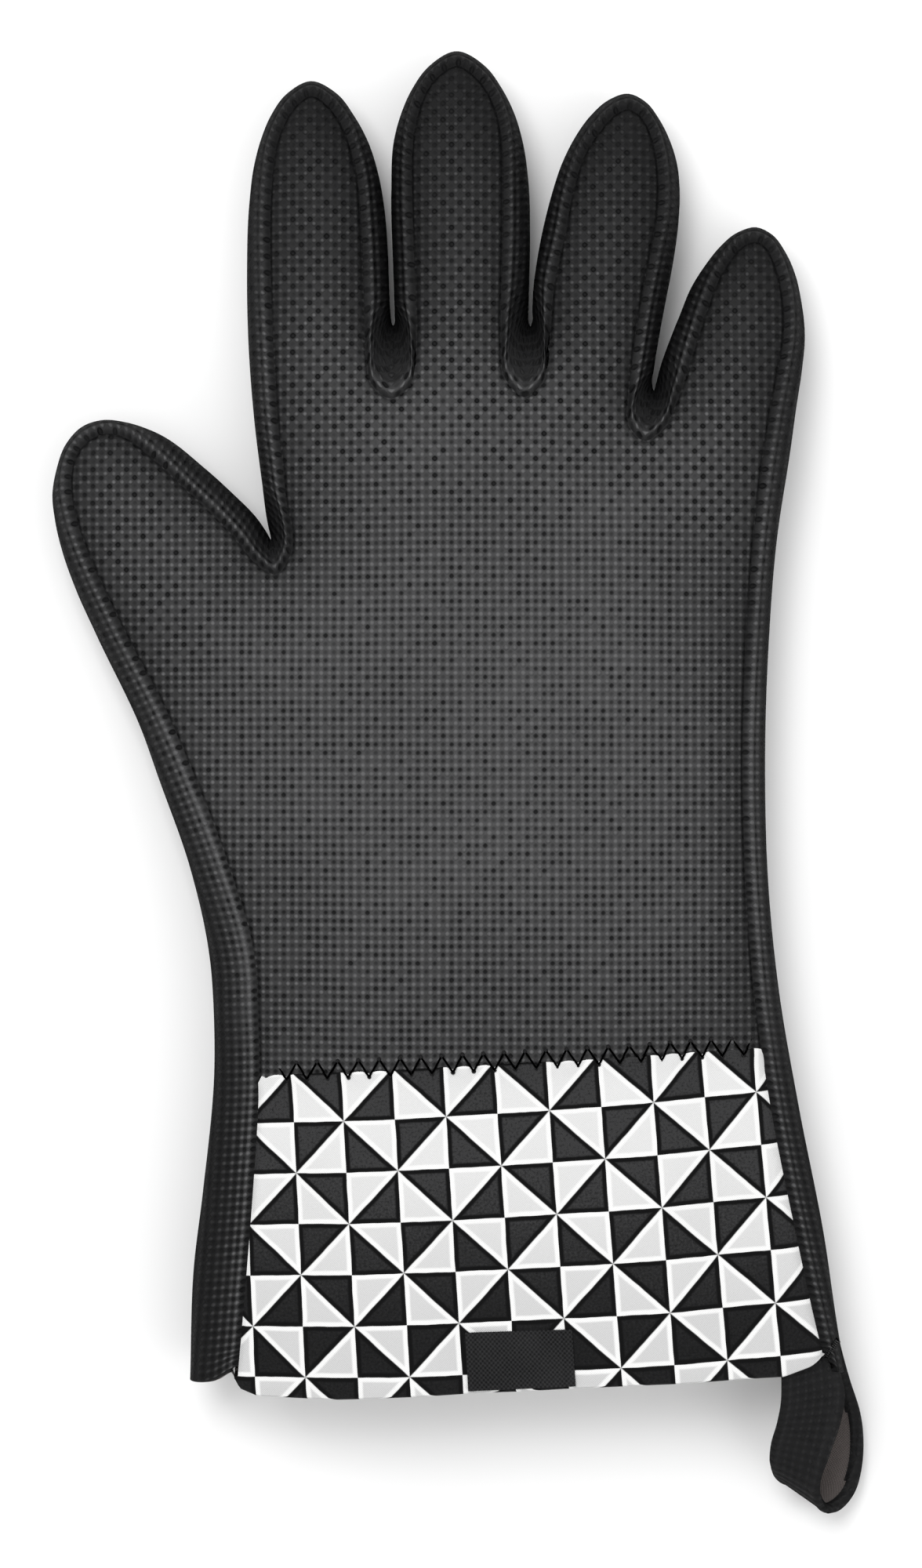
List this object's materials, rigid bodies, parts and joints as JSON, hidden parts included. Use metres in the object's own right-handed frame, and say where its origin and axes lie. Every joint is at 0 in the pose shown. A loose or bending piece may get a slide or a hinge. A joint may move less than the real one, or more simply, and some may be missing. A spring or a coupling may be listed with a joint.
{
  "type": "oven glove",
  "caption": "Five-finger heat resistant oven glove, textured silicone shell with boxed sides, cotton lining, printed cotton cuff, blank label and hanging loop.",
  "frame": {"origin": "centre of the flat resting face under the palm, on the plane the glove rests on", "axes": "+Y from the cuff mouth towards the fingertips, +X towards the little-finger side, +Z out of the palm face; the glove lies on its back"},
  "size_m": [0.2089, 0.3735, 0.0334],
  "materials": {
    "silicone_shell": "matte silicone with a fine square grid of raised dots",
    "silicone_strip": "matte silicone tape with the same raised dots",
    "cuff_print": "plain-weave cotton with a black and white triangle print",
    "cotton_lining": "warm grey brushed cotton",
    "label_weave": "blank black woven label"
  },
  "bodies": {
    "hand": {"palm_panel": "silicone_shell", "back_panel": "silicone_shell", "thumb_side_strip": "silicone_strip", "little_side_strip": "silicone_strip", "web_thumb_index": "silicone_strip", "web_index_middle": "silicone_strip", "web_middle_ring": "silicone_strip", "web_ring_little": "silicone_strip", "hand_lining": "cotton_lining"},
    "thumb_base": {"thumb_base_front": "silicone_shell", "thumb_base_back": "silicone_shell", "thumb_base_side_outer": "silicone_strip", "thumb_base_side_upper": "silicone_strip"},
    "thumb_tip": {"thumb_tip_front": "silicone_shell", "thumb_tip_back": "silicone_shell", "thumb_tip_side": "silicone_strip", "thumb_tip_lining": "cotton_lining"},
    "cuff": {"cuff_fabric_front": "cuff_print", "cuff_fabric_back": "cuff_print", "cuff_side_strip_thumb": "silicone_strip", "cuff_side_strip_little": "silicone_strip", "cuff_lining": "cotton_lining", "label": "label_weave"},
    "hanging_loop": {"hanging_loop": "silicone_strip"},
    "index_base": {"index_base_front": "silicone_shell", "index_base_back": "silicone_shell", "index_base_side_l": "silicone_strip", "index_base_side_r": "silicone_strip", "index_base_lining": "cotton_lining"},
    "index_tip": {"index_tip_front": "silicone_shell", "index_tip_back": "silicone_shell", "index_tip_side": "silicone_strip", "index_tip_lining": "cotton_lining"},
    "middle_base": {"middle_base_front": "silicone_shell", "middle_base_back": "silicone_shell", "middle_base_side_l": "silicone_strip", "middle_base_side_r": "silicone_strip", "middle_base_lining": "cotton_lining"},
    "middle_tip": {"middle_tip_front": "silicone_shell", "middle_tip_back": "silicone_shell", "middle_tip_side": "silicone_strip", "middle_tip_lining": "cotton_lining"},
    "ring_base": {"ring_base_front": "silicone_shell", "ring_base_back": "silicone_shell", "ring_base_side_l": "silicone_strip", "ring_base_side_r": "silicone_strip", "ring_base_lining": "cotton_lining"},
    "ring_tip": {"ring_tip_front": "silicone_shell", "ring_tip_back": "silicone_shell", "ring_tip_side": "silicone_strip", "ring_tip_lining": "cotton_lining"},
    "little_base": {"little_base_front": "silicone_shell", "little_base_back": "silicone_shell", "little_base_side_l": "silicone_strip", "little_base_side_r": "silicone_strip", "little_base_lining": "cotton_lining"},
    "little_tip": {"little_tip_front": "silicone_shell", "little_tip_back": "silicone_shell", "little_tip_side": "silicone_strip", "little_tip_lining": "cotton_lining"}
  },
  "joints": [
    {"name": "wrist_bend", "type": "hinge", "parent": "hand", "child": "cuff", "pos_m": [0, -0.0665, 0.024], "axis": [-0.9985, -0.0546, 0], "range_deg": [0, 35]},
    {"name": "thumb_base_bend", "type": "hinge", "parent": "hand", "child": "thumb_base", "pos_m": [-0.0736, 0.0293, 0.02], "axis": [0.2696, 0.963, 0], "range_deg": [0, 50]},
    {"name": "thumb_tip_bend", "type": "hinge", "parent": "thumb_base", "child": "thumb_tip", "pos_m": [-0.092, 0.068, 0.0155], "axis": [0.8783, 0.4782, 0], "range_deg": [0, 60]},
    {"name": "index_base_bend", "type": "hinge", "parent": "hand", "child": "index_base", "pos_m": [-0.0495, 0.124, 0.0155], "axis": [1, 0, 0], "range_deg": [0, 65]},
    {"name": "index_tip_bend", "type": "hinge", "parent": "index_base", "child": "index_tip", "pos_m": [-0.0495, 0.153, 0.0155], "axis": [1, 0, 0], "range_deg": [0, 75]},
    {"name": "middle_base_bend", "type": "hinge", "parent": "hand", "child": "middle_base", "pos_m": [-0.0133, 0.124, 0.0155], "axis": [1, 0, 0], "range_deg": [0, 65]},
    {"name": "middle_tip_bend", "type": "hinge", "parent": "middle_base", "child": "middle_tip", "pos_m": [-0.0135, 0.156, 0.0155], "axis": [1, 0, 0], "range_deg": [0, 75]},
    {"name": "ring_base_bend", "type": "hinge", "parent": "hand", "child": "ring_base", "pos_m": [0.0205, 0.1223, 0.0155], "axis": [0.9976, -0.0698, 0], "range_deg": [0, 65]},
    {"name": "ring_tip_bend", "type": "hinge", "parent": "ring_base", "child": "ring_tip", "pos_m": [0.025, 0.1506, 0.0155], "axis": [0.9976, -0.0698, 0], "range_deg": [0, 75]},
    {"name": "little_base_bend", "type": "hinge", "parent": "hand", "child": "little_base", "pos_m": [0.0545, 0.1067, 0.0155], "axis": [0.9945, -0.1045, 0], "range_deg": [0, 60]},
    {"name": "little_tip_bend", "type": "hinge", "parent": "little_base", "child": "little_tip", "pos_m": [0.0586, 0.1266, 0.0155], "axis": [0.9945, -0.1045, 0], "range_deg": [0, 60]},
    {"name": "loop_swing", "type": "hinge", "parent": "cuff", "child": "hanging_loop", "pos_m": [0.081, -0.151, 0.023], "axis": [-1, 0, 0], "range_deg": [0, 60]}
  ]
}
